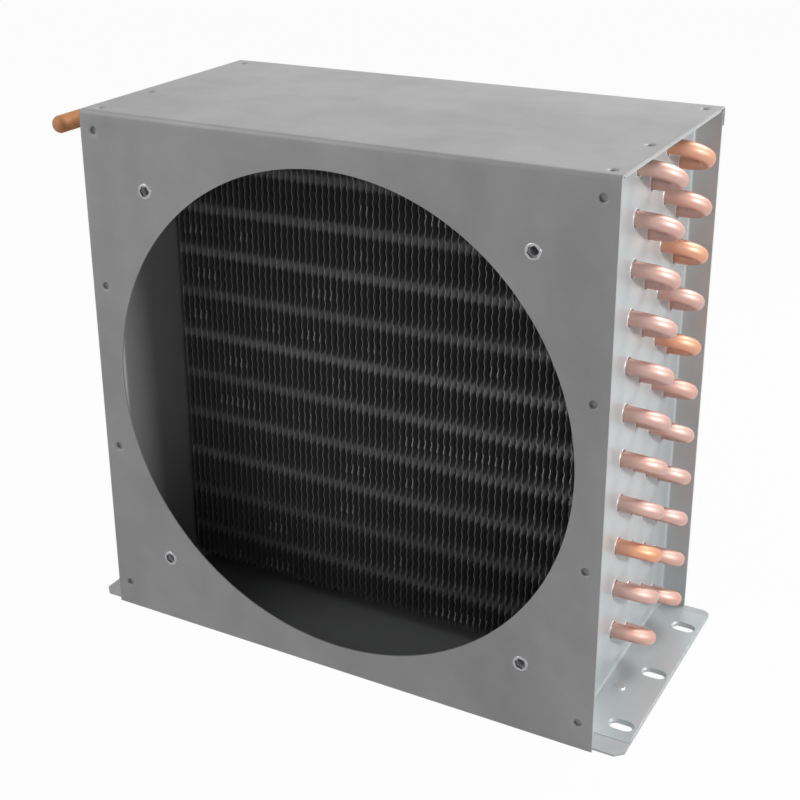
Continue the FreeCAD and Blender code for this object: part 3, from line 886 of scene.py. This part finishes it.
@dataclass
class FanNuts:
    """Rivet nuts that hold the fan: flange outside, threaded barrel inside."""

    sizes: CasingSizes
    finish: Material
    bore: float = 2.1
    thread_pitch: float = 0.8
    thread_depth: float = 0.25
    thread_from: float = -8.9
    threads: int = 10
    flange: Profile = ((2.1, 0.1), (2.3, 0.3), (3.7, 0.36), (4.0, 0.28), (4.18, 0.1), (4.2, 0.0))
    barrel: Profile = ((3.25, -0.02), (3.2, -1.0), (3.6, -1.3), (3.8, -2.0), (3.5, -2.7),
                       (3.1, -3.1), (3.1, -8.6), (2.9, -8.95))
    recess: float = 3.05
    recess_depth: float = 1.5
    turns: Measures = (8.0, 31.0, 17.0, 44.0)

    def build(self) -> None:
        """Turn one nut and copy it to the four corners of the fan."""
        outline = []
        for turn in range(self.threads):
            low = self.thread_from + turn * self.thread_pitch
            outline += [(self.bore, low),
                        (self.bore + self.thread_depth, low + self.thread_pitch / 2)]
        outline += [*self.flange, *self.barrel]
        nut = spun(outline, self.sizes.round_sides, True)
        places = [place @ Matrix.Rotation(math.radians(turn), 4, "Z")
                  for place, turn in zip(self.sizes.nuts(), self.turns)]
        piece = mesh_object("fan_nut_inserts", scattered(nut, places), Crease.TURNED)
        cut_out(piece, scattered(rod(self.recess, 2 * self.recess_depth, 6), places))
        add_piece(piece, self.finish, ["fan_nuts"])


@dataclass
class SheetCopies:
    """Side plates and base plate with joined surfaces and softened cut edges."""

    edge: float = 0.12
    weld: float = 0.002
    flat: float = 0.5
    foot_from: float = 129.0
    foot_top: float = 2.4
    foot_front: float = -61.0
    foot_back: float = 68.0
    taper: float = 7.0
    tip_top: float = 1.42
    flange_front: float = -74.0
    flange_gap: float = 0.8
    flange_near: float = 0.05
    top_near: float = 0.1
    end_near: float = 0.3

    def build(self, node: str, name: str, slot: Slot, finish: Material,
              cutters: Shape | None = None) -> None:
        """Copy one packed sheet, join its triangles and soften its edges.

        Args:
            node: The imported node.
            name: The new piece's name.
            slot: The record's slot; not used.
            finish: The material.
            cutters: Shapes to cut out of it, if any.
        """
        shape = bmesh.new()
        shape.from_mesh(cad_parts[node].data)
        bmesh.ops.remove_doubles(shape, verts=shape.verts, dist=self.weld * MM)
        bmesh.ops.dissolve_limit(shape, angle_limit=math.radians(self.flat), verts=shape.verts,
                                 edges=shape.edges, use_dissolve_boundaries=False)
        for place in (self.foot_front + self.taper, self.foot_back - self.taper):
            bmesh.ops.bisect_plane(shape, geom=[*shape.verts, *shape.edges, *shape.faces],
                                   plane_co=(0, place * MM, 0), plane_no=BACK)
        for point in shape.verts:
            self._ease(point)
        piece = mesh_object(name, shape, Crease.FOLDED)
        if cutters:
            cut_out(piece, cutters)
        soften(piece, self.edge)
        add_piece(piece, finish, [node])

    def _ease(self, point: bmesh.types.BMVert) -> None:
        """Thin the ends of a foot's upper layer and set the front flange back a little.

        Args:
            point: A point of the sheet, moved only if it is on one of the two.
        """
        across, back, up = (abs(point.co.x) / MM, point.co.y / MM, point.co.z / MM)
        if up > self.foot_top + 1 and abs(back - self.flange_front) < self.flange_near:
            point.co.y += self.flange_gap * MM
        if across > self.foot_from and abs(up - self.foot_top) < self.top_near:
            if min(abs(back - self.foot_front), abs(back - self.foot_back)) < self.end_near:
                point.co.z = self.tip_top * MM


@dataclass
class FinPack:
    """Thin fins with rippled edges and the collars that space them along the tubes."""

    coil: CoilSizes
    finish: Material
    sleeve: Material
    pitch: float = 3.75
    sheet: float = 0.16
    wave: float = 6.25
    swing: float = 0.42
    rim: float = 2.0
    steps_per_wave: int = 4
    collar: float = 4.5
    collar_from: float = 0.8
    collar_to: float = 3.0
    flare: float = 6.2
    collar_sides: int = 12

    def build(self) -> None:
        """Build the fins and the collars inside them."""
        low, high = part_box("fin_pack")
        count = round((high.x - low.x) / MM / self.pitch) + 1
        shape = self._fin(low, high)
        first = -(count - 1) / 2 * self.pitch
        fins = scattered(shape, [Matrix.Translation((first * MM + step * self.pitch * MM, 0, 0))
                                 for step in range(count)])
        piece = mesh_object("wavy_fins", fins, Crease.PRESSED)
        add_piece(piece, self.finish, ["fin_pack"])
        self._collars(first, count)

    def _fin(self, low: Vector, high: Vector) -> Shape:
        """Make one fin in the YZ plane; its front and back edges ripple along its height.

        Args:
            low: Lowest corner of the fin pack, in metres.
            high: Its highest corner.

        Returns:
            The fin, at X = 0.
        """
        span = Vector((1.0, high.y - low.y, high.z - low.z))
        waves = span.z / MM / self.wave
        shape = bmesh.new()
        bmesh.ops.create_grid(shape, x_segments=3, y_segments=round(waves * self.steps_per_wave),
                              size=0.5)
        for point in shape.verts:
            # The inner columns move out to the rims and stay flat.
            if abs(point.co.x) < 0.4:
                point.co.x = math.copysign(0.5 - self.rim * MM / span.y, point.co.x)
            else:
                point.co.z = self.swing * MM * math.sin((point.co.y + 0.5) * waves * math.tau)
        turn = Matrix.Rotation(math.pi / 2, 4, "Z") @ Matrix.Rotation(math.pi / 2, 4, "X")
        bmesh.ops.transform(shape, matrix=turn, verts=shape.verts)
        bmesh.ops.scale(shape, verts=shape.verts, vec=span)
        bmesh.ops.translate(shape, verts=shape.verts,
                            vec=(0, (low.y + high.y) / 2, (low.z + high.z) / 2))
        bmesh.ops.solidify(shape, geom=shape.faces[:], thickness=self.sheet * MM)
        bmesh.ops.recalc_face_normals(shape, faces=shape.faces)
        return shape

    def _collars(self, first: float, count: int) -> None:
        """Sleeves round the tubes, flared out at every fin.

        Args:
            first: X of the first fin, in millimetres.
            count: How many fins there are.
        """
        profile = [(0.0, first)]
        for step in range(count - 1):
            fin = first + step * self.pitch
            profile += [(self.flare, fin), (self.collar, fin + self.collar_from),
                        (self.collar, fin + self.collar_to)]
        last = first + (count - 1) * self.pitch
        profile += [(self.flare, last), (0.0, last)]
        for name, rows in (("front", (0, 1)), ("back", (2, 3))):
            places = [facing(RIGHT, (0, *self.coil.tube(row, level)))
                      for row in rows for level in range(self.coil.levels)]
            shape = scattered(spun(profile, self.collar_sides, False), places)
            piece = mesh_object(f"fin_collars_{name}", shape, Crease.PRESSED)
            add_piece(piece, self.sleeve)


@dataclass
class Hairpins:
    """Copper tubes bent double, one piece for each packed hairpin."""

    coil: CoilSizes
    finish: Material
    warm_finish: Material
    bend_steps: int = 24
    warm: frozenset[str] = frozenset({"hairpin_back_01", "hairpin_back_03", "hairpin_back_05",
                                      "hairpin_front_09"})

    def build(self) -> None:
        """Build both columns of hairpins; a few are of warmer copper."""
        for column, row in (("front", 0), ("back", 2)):
            for level in range(self.coil.levels):
                node = f"hairpin_{column}_{level + 1:02d}"
                piece = mesh_object(f"copper_{node}", self._hairpin(row, level), Crease.TUBE)
                chosen = self.warm_finish if node in self.warm else self.finish
                add_piece(piece, chosen, [node])

    def _hairpin(self, row: int, level: int) -> Shape:
        """Bend one hairpin: a leg at this row and level, a half turn and a leg back."""
        coil = self.coil
        leg = coil.web + coil.bend_lead - coil.left_end
        run = TubeRun((coil.left_end, *coil.tube(row, level)), RIGHT, coil.radius)
        run.straight(leg).turn_back(coil.tube(row + 1, level), self.bend_steps).straight(leg)
        return run.close()


@dataclass
class ReturnBends:
    """Short half turns brazed over the tube ends on the left."""

    coil: CoilSizes
    finish: Material
    bend_steps: int = 20

    def build(self) -> None:
        """Build the three groups of bends."""
        levels = self.coil.levels
        groups = {
            "return_bends_middle": [((1, level), (2, level)) for level in range(levels)],
            "return_bends_back": [((3, level), (3, level + 1))
                                  for level in range(0, levels - 1, 2)],
            "return_bends_front": [((0, level), (0, level + 1)) for level in range(1, levels, 2)],
        }
        for node, pairs in groups.items():
            shapes = joined(self._bend(first, second) for first, second in pairs)
            piece = mesh_object(f"copper_{node}", shapes, Crease.TUBE)
            add_piece(piece, self.finish, [node])

    def _bend(self, first: tuple[int, int], second: tuple[int, int]) -> Shape:
        """Half turn between two tubes, given as (row, level), belled where it takes them."""
        coil = self.coil
        root = coil.web + coil.socket_gap
        half_neck = (coil.return_lead - coil.left_end - root - coil.socket_length) / 2
        run = TubeRun((-root, *coil.tube(*first)), -RIGHT, coil.radius * coil.socket)
        run.straight(coil.socket_length).straight(half_neck, 1 / coil.socket)
        run.straight(half_neck).turn_back(coil.tube(*second), self.bend_steps)
        run.straight(half_neck).straight(half_neck, coil.socket)
        run.straight(coil.socket_length)
        return run.close()


@dataclass
class ConnectionPipe:
    """A pipe that leaves the coil on the left, turns forward and ends closed."""

    coil: CoilSizes
    finish: Material
    node: str
    row: int
    level: int
    tip: float
    radius: float = 4.76
    far: float = -169.9
    bend: float = 15.0
    bend_steps: int = 16
    neck: float = 1.2
    sides: int = 32
    dome: float = 3.8
    dome_steps: int = 9

    def build(self) -> None:
        """Sweep the pipe from its socket to its closed end."""
        coil = self.coil
        back, up = coil.tube(self.row, self.level)
        root = coil.web + coil.socket_gap
        run = TubeRun((-root, back, up), -RIGHT, self.radius * coil.socket, self.sides)
        run.straight(coil.socket_length).straight(self.neck, 1 / coil.socket)
        run.straight(-self.far - self.bend - root - coil.socket_length - self.neck)
        centre = Vector((self.far + self.bend, back - self.bend, up)) * MM
        run.turn(centre, UP, 90, self.bend_steps)
        run.straight(back - self.bend - self.tip - self.dome)
        run.dome(self.dome, self.dome_steps)
        piece = mesh_object(f"copper_{self.node}", run.close(), Crease.TUBE)
        add_piece(piece, self.finish, [self.node])


# Studio

@dataclass(frozen=True)
class SoftLamp:
    """A square soft light aimed at the object."""

    name: str
    place: Spot
    size: float
    power: float
    aim: Spot = (0.0, 0.0, 0.14)

    def build(self) -> None:
        """Hang the lamp."""
        data = bpy.data.lights.new(self.name, "AREA")
        data.shape = "SQUARE"
        data.size = self.size
        data.energy = self.power
        lamp = bpy.data.objects.new(self.name, data)
        lamp.location = self.place
        aim = Vector(self.aim) - Vector(self.place)
        lamp.rotation_euler = aim.to_track_quat("-Z", "Y").to_euler()
        bpy.context.scene.collection.objects.link(lamp)


@dataclass(frozen=True)
class PhotoCamera:
    """The photograph's viewpoint: lens in millimetres, place in metres, turn in degrees."""

    lens: float = 64.0406
    sensor: float = 36.0
    shift: tuple[float, float] = (0.05425, -0.092273)
    clip: tuple[float, float] = (0.01, 100.0)
    place: Spot = (0.337759, -0.628585, 0.450341)
    turn: Spot = (68.76318, 0.87615, 29.77118)

    def build(self) -> None:
        """Set the camera up as the scene's own."""
        data = bpy.data.cameras.new("photo_camera")
        data.sensor_width = self.sensor
        data.lens = self.lens
        data.shift_x, data.shift_y = self.shift
        data.clip_start, data.clip_end = self.clip
        camera = bpy.data.objects.new("photo_camera", data)
        camera.location = self.place
        camera.rotation_euler = [math.radians(angle) for angle in self.turn]
        bpy.context.scene.collection.objects.link(camera)
        bpy.context.scene.camera = camera


@dataclass
class Studio:
    """Pale floor, white surroundings, soft lamps and the camera."""

    world_level: float = 0.015
    floor_size: float = 12.0
    floor_tone: Colour = (0.8, 0.8, 0.8)
    floor_glow: float = 0.97
    lamps: tuple[SoftLamp, ...] = (
        SoftLamp("right_lamp", (1.15, 0.25, 0.22), 0.4, 0.8),
        SoftLamp("strip_lamp", (1.3, -0.13, 0.45), 0.16, 7.0),
        SoftLamp("back_lamp", (0.5, 0.6, 0.9), 0.5, 7.0),
        SoftLamp("left_lamp", (-0.55, -0.40, 0.85), 0.4, 1.7),
        SoftLamp("front_lamp", (-0.85, -0.95, 0.6), 0.6, 2.4),
    )

    def build(self) -> None:
        """Set the whole stage."""
        self._world()
        self._floor()
        for lamp in self.lamps:
            lamp.build()
        PhotoCamera().build()
        bpy.context.scene.view_settings.view_transform = "Standard"

    @staticmethod
    def _shown(tree: ShaderTree) -> Value:
        """1 for the rays that show the surroundings themselves, 0 for light on the object."""
        camera, glossy, glass = (tree.node("ShaderNodeLightPath", {}, {}, f"Is {kind} Ray")
                                 for kind in ("Camera", "Glossy", "Transmission"))
        return camera + glossy + glass

    def _world(self) -> None:
        """White where the camera, a reflection or glass sees it, softer as light."""
        world = bpy.data.worlds.new("white_room")
        tree = ShaderTree(world)
        seen = tree.node("ShaderNodeBackground", {}, {"Color": WHITE})
        soft = tree.node("ShaderNodeBackground", {}, {"Color": WHITE,
                                                      "Strength": self.world_level})
        mixed = tree.node("ShaderNodeMixShader", {}, {0: self._shown(tree), 1: soft, 2: seen})
        tree.node("ShaderNodeOutputWorld", {}, {"Surface": mixed})
        bpy.context.scene.world = world

    def _floor(self) -> None:
        """A wide pale floor that keeps the object's shadow."""
        shape = bmesh.new()
        bmesh.ops.create_grid(shape, x_segments=1, y_segments=1, size=self.floor_size)
        floor = mesh_object("pale_floor", shape)
        tree = ShaderTree(bpy.data.materials.new("pale_floor"))
        glow = tree.node("ShaderNodeEmission", {}, {"Color": WHITE, "Strength": 1.0})
        matte = tree.node("ShaderNodeBsdfDiffuse", {}, {"Color": (*self.floor_tone, 1.0)})
        mixed = tree.node("ShaderNodeMixShader", {}, {
            0: self._shown(tree) * self.floor_glow, 1: matte, 2: glow})
        tree.node("ShaderNodeOutputMaterial", {}, {"Surface": mixed})
        floor.data.materials.append(tree.owner)


def main() -> None:
    """Build every piece, the studio and the camera."""
    logging.basicConfig(level=logging.INFO, format="%(name)s: %(message)s")
    finishes = {slot: finish.material() for slot, finish in FINISHES.items()}
    casing, coil = CasingSizes(), CoilSizes()
    Studio().build()
    Shroud(casing, finishes[Slot.SHROUD]).build()
    JOINT_CUPS.build(finishes[Slot.SHROUD],
                     [place for hand in Hand for place in casing.joints(hand)])
    FanNuts(casing, finishes[Slot.NUT]).build()
    sheets = SheetCopies()
    for hand in Hand:
        side = hand.name.lower()
        cutters = joined((casing.punches(hand), coil.funnel_holes(hand),
                          casing.slot_reliefs(hand)))
        sheets.build(f"side_plate_{side}", f"side_sheet_{side}", Slot.SIDE,
                     finishes[Slot.SIDE], cutters)
    sheets.build("base_plate", "base_sheet_plate", Slot.BASE, finishes[Slot.BASE])
    FOOT_BUTTONS.build(BUTTON_FINISH.material(), casing.buttons())
    FinPack(coil, finishes[Slot.FINS], SLEEVE_FINISH.material()).build()
    TUBE_FUNNELS.build(FUNNEL_FINISH.material(),
                       [root for hand in Hand for root in coil.roots(hand)])
    Hairpins(coil, finishes[Slot.HAIRPIN], WARM_COPPER.material()).build()
    ReturnBends(coil, finishes[Slot.RETURN]).build()
    copper = finishes[Slot.PIPE]
    ConnectionPipe(coil, copper, "inlet_pipe", row=0, level=0, tip=-66.8).build()
    ConnectionPipe(coil, copper, "outlet_pipe", row=3, level=10, tip=-15.0).build()


if __name__ == "__main__":
    main()
